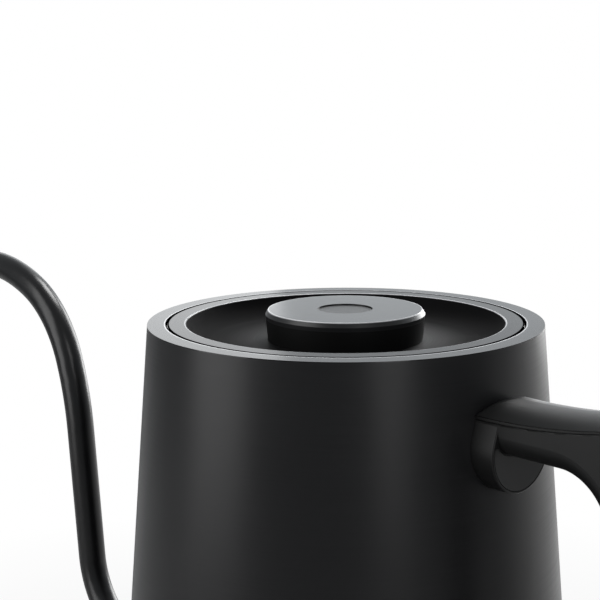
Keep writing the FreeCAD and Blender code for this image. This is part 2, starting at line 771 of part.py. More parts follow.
boss_hole = new_sketch(moulding, "YZ_Plane", "boss_hole", (0, 0, BLOCK_X))
draw_circle(boss_hole, 0, SCREW_Z, S.boss_r + S.screw_gap)
pocket(moulding, boss_hole, BLOCK_X - SEAM_ROOT[0])

pilot = new_sketch(moulding, "XY_Plane", "pilot", (0, 0, TONGUE_LOW))
for step in range(2):
    x = TONGUE_SCREW_X + S.tongue_screw_step * step
    draw_circle(pilot, x, 0, S.tongue_screw_r + S.screw_gap)
pocket(moulding, pilot, S.tongue_screw_len + S.screw_gap)

bracket = new_body("handle_bracket")
strip = new_sketch(bracket, "XZ_Plane", "strip")
draw_loop(strip, [
    (SEAM_ROOT[0], LEG_END),
    (cone_r(LEG_END) + S.bracket_t, LEG_END),
    (cone_r(TONGUE_LOW) + S.bracket_t, TONGUE_LOW),
    (TONGUE_END, TONGUE_LOW),
    (TONGUE_END, TONGUE_TOP),
    (SEAM_ROOT[0], TONGUE_TOP),
])
pad(bracket, strip, S.bracket_w, both_sides=True)
boss = new_sketch(bracket, "YZ_Plane", "boss", (0, 0, SEAM_ROOT[0]))
draw_circle(boss, 0, SCREW_Z, S.boss_r)
pad(bracket, boss, LEDGE_X - S.washer_clear - SEAM_ROOT[0])
trim_to_cone(bracket)
thread = new_sketch(bracket, "YZ_Plane", "thread", (0, 0, BLOCK_X))
draw_circle(thread, 0, SCREW_Z, S.handle_screw_r + S.thread_gap)
pocket(bracket, thread, BLOCK_X - SEAM_ROOT[0])
tongue_holes = new_sketch(bracket, "XY_Plane", "tongue_holes", (0, 0, TONGUE_TOP))
for step in range(2):
    x = TONGUE_SCREW_X + S.tongue_screw_step * step
    draw_circle(tongue_holes, x, 0, S.tongue_screw_r + S.screw_gap)
pocket(bracket, tongue_holes, S.bracket_t)

cover_blank = new_body("cover_blank")
spine = new_sketch(cover_blank, "XZ_Plane", "spine")
draw_route(spine, SEAM_ROOT, S.corner_dip - S.seam_turn, [
    ("arc", S.seam_arc, S.seam_turn),
    ("arc", S.corner_r, -(90 - S.grip_out_lean + S.corner_dip)),
    ("line", (CORNER_END[1] - S.grip_end_z) / cosd(S.grip_out_lean)),
])


def crown_section(name, spot, tilt, crown, seam_h):
    """Arched cover section across the seam: a rib below, a bead between two shadow lines, the crown above."""
    sketch = new_sketch(cover_blank, "YZ_Plane", name, (0, spot[1], spot[0]), tilt)
    foot = HALF_W - S.seam_inset
    bead = HALF_W - S.bead_inset
    rise = crown - seam_h
    arch = (HALF_W * HALF_W + rise * rise) / (rise * 2)
    draw_loop(sketch, [
        (-foot, seam_h),
        (-foot, seam_h - S.seam_line),
        (-bead, seam_h - S.seam_line),
        (-bead, S.seam_line),
        (-foot, S.seam_line),
        (-foot, -S.cover_rib),
        (foot, -S.cover_rib),
        (foot, S.seam_line),
        (bead, S.seam_line),
        (bead, seam_h - S.seam_line),
        (foot, seam_h - S.seam_line),
        (foot, seam_h),
        (HALF_W, seam_h),
        (0, crown, arch),
        (-HALF_W, seam_h, arch),
    ])
    return sketch


root_section = crown_section("root", SEAM_ROOT, S.seam_turn - S.corner_dip, S.crown_root, S.seam_root_h)
arm_section = crown_section("arm", SEAM_END, -S.corner_dip, S.crown_arm, S.seam_arm_h)
end_section = crown_section("end", BACK_END, 90 - S.grip_out_lean, S.crown_end, S.seam_end_h)
crown = cover_blank.newObject("PartDesign::AdditivePipe", "cover_blank_sweep")
crown.Profile = root_section
crown.Spine = (spine, [])
crown.Sections = [(arm_section, [""]), (end_section, [""])]
crown.Transformation = "Multisection"
DOC.recompute()
trim_to_cone(cover_blank)

round_foot(cover_blank)

# The crown dips towards the body: a barrel-shaped cut whose axis lies across the arm.
DOME_X = cone_r(SEAM_ROOT[1]) + S.dome_x
seam_mid_x = ARM_X - S.seam_arc * sind(S.corner_dip)
seam_mid_z = SEAM_END[1] + S.seam_arc * cosd(S.corner_dip)
seam_z = seam_mid_z - sqrtd(S.seam_arc * S.seam_arc - (DOME_X - seam_mid_x) * (DOME_X - seam_mid_x))
share = (DOME_X - SEAM_ROOT[0]) / (ARM_X - SEAM_ROOT[0])
DOME_TOP = seam_z + S.crown_root + (S.crown_arm - S.crown_root) * share + S.dome_step
DOME_SIDE = DOME_TOP - S.dome_arch + sqrtd(S.dome_arch * S.dome_arch - S.handle_w * S.handle_w)
dome = new_sketch(cover_blank, "YZ_Plane", "dome", (0, 0, DOME_X))
draw_loop(dome, [
    (-S.handle_w, DOME_SIDE),
    (0, DOME_TOP, -S.dome_arch),
    (S.handle_w, DOME_SIDE, -S.dome_arch),
    (S.handle_w, S.height),
    (-S.handle_w, S.height),
])
draw_axis(dome, (0, DOME_TOP - S.dome_r), (S.handle_w, DOME_TOP - S.dome_r))
before = cover_blank.Shape.Volume
dip = cover_blank.newObject("PartDesign::Groove", "cover_blank_dome_cut")
dip.Profile = dome
dip.ReferenceAxis = (dome, ["Axis0"])
dip.Angle = 90
dip.Reversed = True
DOC.recompute()
if not cover_blank.Shape.Volume < before - 1e-3:
    raise RuntimeError("the dip towards the body removes nothing")

cover = DOC.addObject("Part::Cut", "handle_top_cover")
cover.Base = cover_blank
cover.Tool = moulding
cover.Label = "handle_top_cover"
DOC.recompute()

plug = new_body("screw_cover_plug")
plug_face = new_sketch(plug, "YZ_Plane", "face", (0, 0, BLOCK_X))
draw_plug(plug_face, S.plug_gap)
pad(plug, plug_face, S.plug_t, reverse=True)


def disc_x(body, name, start_x, length, radius, bore=None):
    """Round boss along X on the handle screw's axis, reaching inwards from start_x."""
    sketch = new_sketch(body, "YZ_Plane", name, (0, 0, start_x))
    draw_circle(sketch, 0, SCREW_Z, radius)
    if bore is not None:
        draw_circle(sketch, 0, SCREW_Z, bore)
    return pad(body, sketch, length, reverse=True)


washer = new_body("handle_screw_washer")
disc_x(washer, "ring", HEAD_X, S.handle_washer_t, S.handle_washer_r, S.handle_screw_r + S.screw_gap)

handle_screw = new_body("handle_screw")
disc_x(handle_screw, "head", HEAD_X + S.handle_head_t, S.handle_head_t, S.handle_head_r)
disc_x(handle_screw, "shank", HEAD_X, HEAD_X - cone_r(SCREW_Z) - S.tip_clear, S.handle_screw_r)
drive = new_sketch(handle_screw, "YZ_Plane", "drive", (0, 0, HEAD_X + S.handle_head_t))
draw_hexagon(drive, 0, SCREW_Z, S.handle_drive_r)
pocket(handle_screw, drive, S.handle_head_t * 0.6)

tongue_screws = new_body("tongue_screw_blank")
heads = new_sketch(tongue_screws, "XY_Plane", "heads", (0, 0, TONGUE_TOP))
draw_circle(heads, TONGUE_SCREW_X, 0, S.tongue_head_r)
head_pad = pad(tongue_screws, heads, S.tongue_head_t)
shanks = new_sketch(tongue_screws, "XY_Plane", "shanks", (0, 0, TONGUE_TOP))
draw_circle(shanks, TONGUE_SCREW_X, 0, S.tongue_screw_r)
shank_pad = pad(tongue_screws, shanks, S.bracket_t + S.tongue_screw_len, reverse=True)
screw_drive = new_sketch(tongue_screws, "XY_Plane", "drive", (0, 0, TONGUE_TOP + S.tongue_head_t))
draw_hexagon(screw_drive, TONGUE_SCREW_X, 0, S.handle_drive_r)
pocket(tongue_screws, screw_drive, S.tongue_head_t * 0.6)
row = Part.makeCompound([
    tongue_screws.Shape,
    tongue_screws.Shape.translated(Vector(S.tongue_screw_step.value, 0, 0)),
])


# -------------------------------------------------------------------- lid

DISH_FLOOR = below_rim(S.dish_depth)
DISH_R = FLANGE_R - S.flange_w
DISH_UNDER = DISH_FLOOR - S.dish_t
BOLT_R = S.knob_screw_r + S.screw_gap

dish = new_body("lid_dish")
revolve(dish, "dish", [
    (BOLT_R, DISH_FLOOR),
    (BOLT_R, DISH_UNDER),
    (DISH_R - S.dish_inset + S.dish_t, DISH_UNDER),
    (DISH_R + S.dish_t, SEAT),
    (FLANGE_R, SEAT),
    (FLANGE_R, S.height),
    (DISH_R, S.height),
    (DISH_R - S.dish_inset, DISH_FLOOR),
])
round_edges(dish, "floor_blend", S.dish_blend, on_ring((DISH_R - S.dish_inset, DISH_FLOOR)))
round_edges(dish, "under_blend", S.dish_blend, on_ring((DISH_R - S.dish_inset + S.dish_t, DISH_UNDER)))
round_edges(dish, "edge_round", S.dish_edge, on_ring((DISH_R, S.height)))

CUP_R = NECK_R - S.cup_gap
CUP_FLOOR = below_rim(S.cup_depth)
cup = new_body("lid_cup")
revolve(cup, "cup", [
    (0, CUP_FLOOR),
    (CUP_R, CUP_FLOOR),
    (CUP_R, SEAT),
    (CUP_R - S.cup_t, SEAT),
    (CUP_R - S.cup_t, CUP_FLOOR + S.cup_t),
    (0, CUP_FLOOR + S.cup_t),
])
round_edges(cup, "inner_round", S.cup_round, on_ring((CUP_R - S.cup_t, CUP_FLOOR + S.cup_t)))
round_edges(cup, "outer_round", S.cup_round + S.cup_t, on_ring((CUP_R, CUP_FLOOR)))

SEAL_TOP = below_rim(S.seal_drop)
seal = new_body("lid_seal")
revolve(seal, "lip", [
    (CUP_R, SEAL_TOP - S.seal_rise),
    (NECK_R - S.seal_gap, SEAL_TOP - S.seal_rise / 2 - S.seal_lip / 2),
    (NECK_R - S.seal_gap, SEAL_TOP - S.seal_rise / 2 + S.seal_lip / 2),
    (CUP_R, SEAL_TOP),
])

KNOB_TOP = S.height + S.knob_rise
CAP_LOW = KNOB_TOP - S.knob_cap_t
SIDE_TAPER = S.knob_waist / (S.knob_rise + S.dish_depth - S.knob_chamfer_z)
core = new_body("lid_knob")
revolve(core, "core", [
    (0, CAP_LOW),
    (0, DISH_FLOOR + S.knob_screw_grip + S.dish_t),
    (S.knob_screw_r + S.thread_gap, DISH_FLOOR + S.knob_screw_grip + S.dish_t),
    (S.knob_screw_r + S.thread_gap, DISH_FLOOR),
    (S.knob_r - S.knob_waist, DISH_FLOOR),
    (S.knob_r - (S.knob_cap_t - S.knob_chamfer_z) * SIDE_TAPER, CAP_LOW),
])

top = new_body("knob_cap")
revolve(top, "plate", [
    (0, CAP_LOW),
    (S.knob_r - (S.knob_cap_t - S.knob_chamfer_z) * SIDE_TAPER, CAP_LOW),
    (S.knob_r, KNOB_TOP - S.knob_chamfer_z),
    (S.knob_r - S.knob_chamfer_w, KNOB_TOP),
    (S.medal_r, KNOB_TOP),
    (S.medal_r, KNOB_TOP - S.medal_d),
    (0, KNOB_TOP - S.medal_d),
])

WASHER_LOW = DISH_UNDER - S.washer_t
knob_washer = new_body("knob_washer")
revolve(knob_washer, "ring", [
    (BOLT_R, WASHER_LOW),
    (S.knob_screw_head_r + S.washer_w, WASHER_LOW),
    (S.knob_screw_head_r + S.washer_w, DISH_UNDER),
    (BOLT_R, DISH_UNDER),
])

knob_screw = new_body("knob_screw")
revolve(knob_screw, "screw", [
    (0, WASHER_LOW - S.knob_screw_head_t),
    (S.knob_screw_head_r, WASHER_LOW - S.knob_screw_head_t),
    (S.knob_screw_head_r, WASHER_LOW),
    (S.knob_screw_r, WASHER_LOW),
    (S.knob_screw_r, DISH_FLOOR + S.knob_screw_grip),
    (0, DISH_FLOOR + S.knob_screw_grip),
])


# ----------------------------------------------------------------- export

twin_screws = DOC.addObject("Part::Feature", "tongue_screws")
twin_screws.Shape = row
twin_screws.Label = "tongue_screws"
DOC.recompute()

PARTS = [body for body in BODIES if not body.Label.endswith("_blank")]
PARTS += [cover, twin_screws]


def check(objects, parts):
    for obj in objects:
        if "Invalid" in obj.State or "Error" in obj.State:
            raise RuntimeError(f"{obj.Name} failed: {obj.State}")
    for item in parts:
        if item.Shape.isNull() or not item.Shape.isValid():
            raise RuntimeError(f"{item.Label} has no valid shape")


check(DOC.Objects, PARTS)
os.makedirs("parts", exist_ok=True)
for item in PARTS:
    item.Shape.exportStep(f"parts/{item.Label}.step")
    print(f"{item.Label}: {len(item.Shape.Solids)} solid, {item.Shape.Volume:.1f} mm3")
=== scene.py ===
import math

import bmesh
import bpy
from mathutils import Matrix, Vector


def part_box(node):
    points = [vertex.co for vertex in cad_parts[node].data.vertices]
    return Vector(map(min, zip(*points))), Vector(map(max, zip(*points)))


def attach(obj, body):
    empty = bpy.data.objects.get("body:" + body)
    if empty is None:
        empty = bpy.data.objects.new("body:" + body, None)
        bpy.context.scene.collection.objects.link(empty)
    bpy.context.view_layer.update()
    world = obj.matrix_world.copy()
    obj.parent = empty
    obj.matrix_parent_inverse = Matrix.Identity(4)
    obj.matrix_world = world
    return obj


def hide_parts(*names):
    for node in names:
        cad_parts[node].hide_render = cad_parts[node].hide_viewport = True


# Finishes, studio and camera of a black gooseneck kettle. Every piece keeps the shape and place of its solid.

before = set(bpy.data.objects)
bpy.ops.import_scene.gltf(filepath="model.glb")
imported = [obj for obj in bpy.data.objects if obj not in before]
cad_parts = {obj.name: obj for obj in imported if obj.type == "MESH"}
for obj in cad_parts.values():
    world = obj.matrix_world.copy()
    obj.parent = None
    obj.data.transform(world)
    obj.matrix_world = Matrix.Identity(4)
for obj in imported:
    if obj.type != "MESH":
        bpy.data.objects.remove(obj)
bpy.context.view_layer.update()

MM = 0.001
RIM_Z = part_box("body_shell")[1].z
FLANGE_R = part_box("lid_dish")[1].x
KNOB_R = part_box("knob_cap")[1].x
KNOB_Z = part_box("knob_cap")[1].z

# The two levels between which the values of a noise node mostly lie.
NOISE_LOW, NOISE_HIGH = 0.3, 0.7
# Makes a Mix node blend colours, on inputs 6 and 7 and output 2. Without it, it blends numbers on 2 and 3.
COLOUR = {"data_type": "RGBA"}
# Higher than anything on the kettle, for a zone with no upper end.
NO_TOP = 1.0


# ---------------------------------------------------------------- colour and nodes

def hex_colour(code):
    """Linear RGBA from an sRGB hex code."""
    def linear(c):
        return c / 12.92 if c <= 0.04045 else ((c + 0.055) / 1.055) ** 2.4
    return tuple(linear(int(code[i:i + 2], 16) / 255) for i in (1, 3, 5)) + (1.0,)


def add(tree, kind, settings=None, **links):
    """Adds a node with its settings and inputs.

    An input is named, or in3 for number 3. It takes a socket, a hex colour or a value.
    """
    node = tree.nodes.new(kind)
    for name, value in (settings or {}).items():
        setattr(node, name, value)
    for name, value in links.items():
        key = int(name[2:]) if name.startswith("in") and name[2:].isdigit() else name.replace("_", " ")
        if isinstance(value, bpy.types.NodeSocket):
            tree.links.new(value, node.inputs[key])
        else:
            node.inputs[key].default_value = hex_colour(value) if isinstance(value, str) else value
    return node


def new_material(name):
    material = bpy.data.materials.new(name)
    material.use_nodes = True
    tree = material.node_tree
    tree.nodes.clear()
    output = tree.nodes.new("ShaderNodeOutputMaterial")
    return material, tree, output


def turned_marks(tree, pitch_mm):
    """Noise in fine level rings round the Z axis, as a lathe or a brushing belt leaves them.

    Also gives the distance from the axis and the height, as sockets.
    """
    place = add(tree, "ShaderNodeTexCoord")
    apart = add(tree, "ShaderNodeSeparateXYZ", Vector=place.outputs["Object"])
    flat = add(tree, "ShaderNodeVectorMath", {"operation": "MULTIPLY"}, in0=place.outputs["Object"],
               in1=(1, 1, 0))
    reach = add(tree, "ShaderNodeVectorMath", {"operation": "LENGTH"}, in0=flat.outputs[0])
    along = add(tree, "ShaderNodeMath", in0=reach.outputs["Value"], in1=apart.outputs["Z"])
    fine = add(tree, "ShaderNodeMath", {"operation": "MULTIPLY"}, in0=along.outputs[0],
               in1=1 / (pitch_mm * MM))
    turn = add(tree, "ShaderNodeMath", {"operation": "ARCTAN2"}, in0=apart.outputs["Y"],
               in1=apart.outputs["X"])
    joined = add(tree, "ShaderNodeCombineXYZ", X=turn.outputs[0], Y=fine.outputs[0])
    marks = add(tree, "ShaderNodeTexNoise", Vector=joined.outputs[0], Scale=1.0, Detail=3.0, Roughness=0.6)
    return marks, reach.outputs["Value"], apart.outputs["Z"]


def between(tree, value, low, high, soft):
    """1 where the value lies between low and high, 0 outside, over a soft edge."""
    rise = add(tree, "ShaderNodeMapRange", Value=value, From_Min=low - soft, From_Max=low + soft)
    fall = add(tree, "ShaderNodeMapRange", Value=value, From_Min=high - soft, From_Max=high + soft,
               To_Min=1.0, To_Max=0.0)
    both = add(tree, "ShaderNodeMath", {"operation": "MULTIPLY"}, in0=rise.outputs[0], in1=fall.outputs[0])
    return both.outputs[0]


# ---------------------------------------------------------------- finishes

# The level faces of the rim and the lid flange lie above this height, and the knob's above the second one.
RIM_FACE = RIM_Z - 0.2 * MM
KNOB_FACE = KNOB_Z - 0.1 * MM
# The narrow gap round the lid flange, and half the width of the painted shade laid in it.
LID_GAP = FLANGE_R + 0.15 * MM
GAP_SHADE_HALF = 0.4 * MM
# Half the width of the painted highlight, a pale line in the colour along a turned edge.
HIGHLIGHT_HALF = 0.13 * MM
# Half the width over which one zone of a finish passes into the next, and over which the painted highlight
# line fades.
ZONE_SOFT = 0.03 * MM
HIGHLIGHT_SOFT = 0.05 * MM


def zone_roughness(tree, reach, level, roughness, face, wall):
    """Roughness of a coating that is matt towards its drawn wall and glossy on its turned face."""
    if wall:
        inner, outer, matt = wall
        on_wall = add(tree, "ShaderNodeMapRange", Value=reach, From_Min=inner, From_Max=outer)
        roughness = add(tree, "ShaderNodeMix", in0=on_wall.outputs[0], in2=roughness, in3=matt).outputs[0]
    if face:
        lowest, gloss = face
        on_face = between(tree, level, lowest, NO_TOP, ZONE_SOFT)
        roughness = add(tree, "ShaderNodeMix", in0=on_face, in2=roughness, in3=gloss).outputs[0]
    return roughness


def painted_edge_highlight(tree, reach, level, shade, radius):
    """Colour of a coating with a painted highlight, a pale grey line, along a turned edge at this radius."""
    ring = between(tree, reach, radius - HIGHLIGHT_HALF, radius + HIGHLIGHT_HALF, HIGHLIGHT_SOFT)
    upper = between(tree, level, RIM_FACE, NO_TOP, HIGHLIGHT_SOFT)
    # Painted highlight: on this band the colour turns pale grey.
    painted_highlight_band = add(tree, "ShaderNodeMath", {"operation": "MULTIPLY"}, in0=ring, in1=upper)
    return add(tree, "ShaderNodeMix", COLOUR, in0=painted_highlight_band.outputs[0], in6=shade, in7="#b2b2b4").outputs[2]


def painted_gap_shade(tree, reach, surface):
    """Surface with painted shade, a flat near-black, in the gap round the lid."""
    gap_shade_mask = between(tree, reach, LID_GAP - GAP_SHADE_HALF, LID_GAP + GAP_SHADE_HALF, ZONE_SOFT)
    # Painted shade: a near-black diffuse surface stands in for the shadow in the gap.
    painted_shadow = add(tree, "ShaderNodeBsdfDiffuse", Color="#020202")
    return add(tree, "ShaderNodeMixShader", in0=gap_shade_mask, in1=surface, in2=painted_shadow.outputs[0]).outputs[0]


def black_coating(name, tint, roughness, pitch_mm, depth_mm, specular, face=None, gap=False, edge=None,
                  wall=None):
    """Satin black baked coating over turned or brushed steel.

    It gives the eye a deep soft black with one broad glow. face is (lowest z, roughness) of a finely turned
    level face that mirrors at a low angle. gap says that the piece has an edge in the gap round the lid,
    where painted shade, a flat near-black surface, stands in for the shadow in the gap. edge is the radius of
    a turned edge, along which a painted highlight, a pale grey line in the colour, stands in for the light
    on the edge. wall is (inner radius, outer radius, roughness) of a drawn wall that the spray leaves matt.
    """
    material, tree, output = new_material(name)
    marks, reach, level = turned_marks(tree, pitch_mm)
    place = add(tree, "ShaderNodeTexCoord")
    # Orange peel of a sprayed coating, about 0.4 mm across.
    grain = add(tree, "ShaderNodeTexNoise", Vector=place.outputs["Object"], Scale=1 / (0.4 * MM), Detail=2.0)
    # Handling marks, about 25 mm across, shift the gloss a little.
    cloud = add(tree, "ShaderNodeTexNoise", Vector=place.outputs["Object"], Scale=1 / (25 * MM), Detail=2.0)
    # The turning marks shift it a little more.
    gloss = add(tree, "ShaderNodeMapRange", Value=marks.outputs[0], From_Min=NOISE_LOW, From_Max=NOISE_HIGH,
                To_Min=-0.02, To_Max=0.03)
    haze = add(tree, "ShaderNodeMapRange", Value=cloud.outputs[0], From_Min=NOISE_LOW, From_Max=NOISE_HIGH,
               To_Min=-0.01, To_Max=0.015)
    drift = add(tree, "ShaderNodeMath", in0=gloss.outputs[0], in1=haze.outputs[0])
    rough = add(tree, "ShaderNodeMath", in0=drift.outputs[0],
                in1=zone_roughness(tree, reach, level, roughness, face, wall))
    shade = add(tree, "ShaderNodeMix", COLOUR, in0=marks.outputs[0], in6=tint[0], in7=tint[1]).outputs[2]
    # Painted highlight along the turned edge.
    if edge:
        shade = painted_edge_highlight(tree, reach, level, shade, edge)
    dent = add(tree, "ShaderNodeBump", Height=marks.outputs[0], Strength=0.35, Distance=depth_mm * MM)
    peel = add(tree, "ShaderNodeBump", Height=grain.outputs[0], Strength=0.15, Distance=0.003 * MM,
               Normal=dent.outputs[0])
    shader = add(tree, "ShaderNodeBsdfPrincipled", Base_Color=shade, Roughness=rough.outputs[0],
                 Normal=peel.outputs[0])
    shader.inputs["Specular IOR Level"].default_value = specular
    # Painted shade in the gap round the lid.
    surface = painted_gap_shade(tree, reach, shader.outputs[0]) if gap else shader.outputs[0]
    tree.links.new(surface, output.inputs[0])
    return material


def moulded(name, tint, roughness, grain_mm, depth_mm, specular):
    """Injection-moulded polymer with a fine spark-eroded texture that softens its highlights."""
    material, tree, output = new_material(name)
    place = add(tree, "ShaderNodeTexCoord")
    grain = add(tree, "ShaderNodeTexNoise", Vector=place.outputs["Object"], Scale=1 / (grain_mm * MM),
                Detail=3.0)
    # Melt flow marks, about 18 mm across.
    flow = add(tree, "ShaderNodeTexNoise", Vector=place.outputs["Object"], Scale=1 / (18 * MM), Detail=1.0)
    rough = add(tree, "ShaderNodeMapRange", Value=flow.outputs[0], From_Min=NOISE_LOW, From_Max=NOISE_HIGH,
                To_Min=roughness - 0.02, To_Max=roughness + 0.03)
    shade = add(tree, "ShaderNodeMix", COLOUR, in0=grain.outputs[0], in6=tint[0], in7=tint[1])
    bump = add(tree, "ShaderNodeBump", Height=grain.outputs[0], Strength=0.2, Distance=depth_mm * MM)
    shader = add(tree, "ShaderNodeBsdfPrincipled", Base_Color=shade.outputs[2], Roughness=rough.outputs[0],
                 Normal=bump.outputs[0])
    shader.inputs["Specular IOR Level"].default_value = specular
    tree.links.new(shader.outputs[0], output.inputs[0])
    return material


def bare_metal(name, tint, roughness, pitch_mm):
    """Uncoated metal with turning marks round the axis, which streak its reflections."""
    material, tree, output = new_material(name)
    marks = turned_marks(tree, pitch_mm)[0]
    rough = add(tree, "ShaderNodeMapRange", Value=marks.outputs[0], From_Min=NOISE_LOW, From_Max=NOISE_HIGH,
                To_Min=roughness - 0.05, To_Max=roughness + 0.08)
    shade = add(tree, "ShaderNodeMix", COLOUR, in0=marks.outputs[0], in6=tint[0], in7=tint[1])
    bump = add(tree, "ShaderNodeBump", Height=marks.outputs[0], Strength=0.3, Distance=0.01 * MM)
    shader = add(tree, "ShaderNodeBsdfPrincipled", Base_Color=shade.outputs[2], Metallic=1.0,
                 Roughness=rough.outputs[0], Normal=bump.outputs[0])
    tree.links.new(shader.outputs[0], output.inputs[0])
    return material


# Belt marks on the wall are finer than 0.1 mm. They are drawn 0.35 mm apart so that they just show.
COAT = black_coating("black_coated_brushed_steel", ("#111112", "#181819"), 0.33, 0.35, 0.008, 0.2,
                     # Painted highlight along the rim's outer edge, and painted shade in the gap round the
                     # lid.
                     face=(RIM_FACE, 0.15), gap=True, edge=FLANGE_R + 0.7 * MM)
# The dish is the darkest part of the lid, because its wall stays matt, and the flange round it mirrors.
# Lathe marks on the lid and the knob are drawn 0.25 mm apart, about twice as coarse as the real ones.
COAT_LID = black_coating("black_coated_spun_lid", ("#080808", "#0b0b0c"), 0.42, 0.25, 0.004, 0.1,
                         # Painted highlight along the dish's inner edge, and painted shade in the gap round
                         # the lid.
                         face=(RIM_FACE, 0.15), gap=True, edge=FLANGE_R - 3.7 * MM,
                         wall=(15 * MM, 27 * MM, 0.95))
# The knob's plate mirrors on top. Its chamfer and the floor of its recess are softer.
COAT_KNOB = black_coating("black_coated_turned_plate", ("#101011", "#151516"), 0.33, 0.25, 0.004, 0.3,
                          # Painted highlight along the edge of the knob's plate.
                          face=(KNOB_FACE, 0.15), edge=KNOB_R - 0.65 * MM)
# Drawn tube is smoother than brushed sheet, so its marks are wide and shallow and its light bands narrow.
COAT_SPOUT = black_coating("black_coated_drawn_tube", ("#0b0b0c", "#0f0f10"), 0.29, 9.0, 0.002, 0.3)
# Glass-filled polyamide has a fine even satin. The screw's cover is a little paler and duller. The grain of
# each moulding is drawn coarser than the real 0.1 mm, so that it softens the light in the render.
POLYMER = moulded("moulded_black_polyamide", ("#111111", "#161616"), 0.36, 0.25, 0.004, 0.17)
POLYMER_PLUG = moulded("moulded_black_polyamide_cap", ("#1a1a1a", "#202020"), 0.45, 0.25, 0.004, 0.2)
# Compression-moulded phenolic under the knob's plate is nearly lightless.
PHENOLIC = moulded("moulded_black_phenolic", ("#050505", "#080808"), 0.5, 0.3, 0.004, 0.12)
# Silicone is cloudy and soft to the eye, with no clear highlight.
SILICONE = moulded("grey_silicone", ("#77797a", "#858788"), 0.6, 0.3, 0.002, 0.3)
# Bare metals: warm brushed steel with soft streaks, cool zinc on small fittings, pale pressed aluminium.
STEEL = bare_metal("brushed_stainless_steel", ("#a9a8a4", "#c2c1bd"), 0.3, 0.3)
ZINC = bare_metal("zinc_plated_steel", ("#9fa1a2", "#b9bbbc"), 0.35, 0.2)
ALLOY = bare_metal("pressed_aluminium", ("#b7b8ba", "#cfd0d2"), 0.4, 0.5)

FINISHES = {
    "body_shell": COAT,
    "mouth_collar": STEEL,
    "inner_bottom": STEEL,
    "heat_spreader": ALLOY,
    "base_cap": STEEL,
    "spout_tube": COAT_SPOUT,
    "spout_root_collar": COAT_SPOUT,
    "handle_shell": POLYMER,
    "handle_top_cover": POLYMER,
    "handle_bracket": ZINC,
    "screw_cover_plug": POLYMER_PLUG,
    "handle_screw_washer": ZINC,
    "handle_screw": ZINC,
    "tongue_screws": ZINC,
    "lid_dish": COAT_LID,
    "lid_cup": STEEL,
    "lid_seal": SILICONE,
    "lid_knob": PHENOLIC,
    "knob_cap": COAT_KNOB,
    "knob_washer": ZINC,
    "knob_screw": ZINC,
}
for node, finish in FINISHES.items():
    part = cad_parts[node]
    part.data.materials.clear()
    part.data.materials.append(finish)


# ---------------------------------------------------------------- joined surfaces

# Corners nearer than this are one corner, and an edge that turns by more than this stays sharp.
JOIN_WITHIN = 0.002 * MM
SHARP_FROM = math.radians(28)


def joined_surface(node, body):
    """Copy of a node whose faces share their edges, so that light runs over its seams without a break."""
    shape = bmesh.new()
    shape.from_mesh(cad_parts[node].data)
    bmesh.ops.remove_doubles(shape, verts=shape.verts, dist=JOIN_WITHIN)
    for face in shape.faces:
        face.smooth = True
    for edge in shape.edges:
        edge.smooth = edge.is_manifold and edge.calc_face_angle(0) < SHARP_FROM
    mesh = bpy.data.meshes.new(node + "_surface")
    shape.to_mesh(mesh)
    shape.free()
    if "custom_normal" in mesh.attributes:
        mesh.attributes.remove(mesh.attributes["custom_normal"])
    mesh.materials.clear()
    mesh.materials.append(FINISHES[node])
    piece = bpy.data.objects.new(node + "_surface", mesh)
    bpy.context.collection.objects.link(piece)
    even = piece.modifiers.new("even_normals", "WEIGHTED_NORMAL")
    even.keep_sharp = True
    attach(piece, body)
    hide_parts(node)


joined_surface("body_shell", "kettle")
joined_surface("spout_tube", "kettle")


# ---------------------------------------------------------------- floor, room, lamps, camera

# The camera stands this far from the rim's centre, turned round the kettle and raised above the rim.
CAMERA_DISTANCE = 304.526 * MM
CAMERA_TURN = math.radians(46)
CAMERA_RISE = math.radians(10.7)
# Down, to the side and tilted, away from level and straight ahead.
CAMERA_PITCH = math.radians(9.88)
CAMERA_YAW = math.radians(-1.88)
CAMERA_ROLL = math.radians(-0.43)
CAMERA_LENS = 83.7
CAMERA_SENSOR = 36

# The white sweep: its turn to the right of straight behind, in degrees, and the cosines where it fades out.
SWEEP_TURN = 33
SWEEP_EDGE = (0.42, 0.82)
# What gloss sees of the rest of the room, and the level of the soft light from all sides.
ROOM_GREY = 0.42
AMBIENT = 0.4

FLOOR_HALF = 4.0
# The floor fades from this share of plain white near the kettle to all of it, between two distances.
FLOOR_NEAR_WHITE = 0.75
FLOOR_FADE = (0.07, 0.26)

# Name, azimuth, height, distance, width, depth and power. Azimuth 0 is straight behind the kettle and
# grows to the right, in degrees. The rest is in metres and watts.
LAMPS = (
    # Broad glow on the left of the body.
    ("left_box", -110, 0.26, 0.5, 0.34, 0.7, 2.9),
    # Narrower glow right of the middle.
    ("front_right_box", 156, 0.3, 0.6, 0.2, 0.6, 1.3),
    # Bright right edge of the body.
    ("right_sweep_box", 30, 0.25, 0.9, 0.45, 0.7, 8),
    # A little life on the lid's rings.
    ("rear_sweep_box", -12, 0.34, 1.0, 0.3, 0.3, 0.25),
    # Top of the handle and of the spout's neck.
    ("rear_high_box", 20, 0.9, 0.6, 0.42, 0.4, 8),
)
# Height of the point on the axis that every lamp faces.
LAMP_AIM = 0.08


def on_sweep(tree, direction):
    """1 for directions towards the white sweep behind the kettle, 0 for the rest of the room."""
    angle = CAMERA_TURN + math.radians(90 - SWEEP_TURN)
    facing = add(tree, "ShaderNodeVectorMath", {"operation": "DOT_PRODUCT"}, in0=direction,
                 in1=(math.cos(angle), math.sin(angle), 0))
    share = add(tree, "ShaderNodeMapRange", Value=facing.outputs["Value"], From_Min=SWEEP_EDGE[0],
                From_Max=SWEEP_EDGE[1])
    return share.outputs[0]


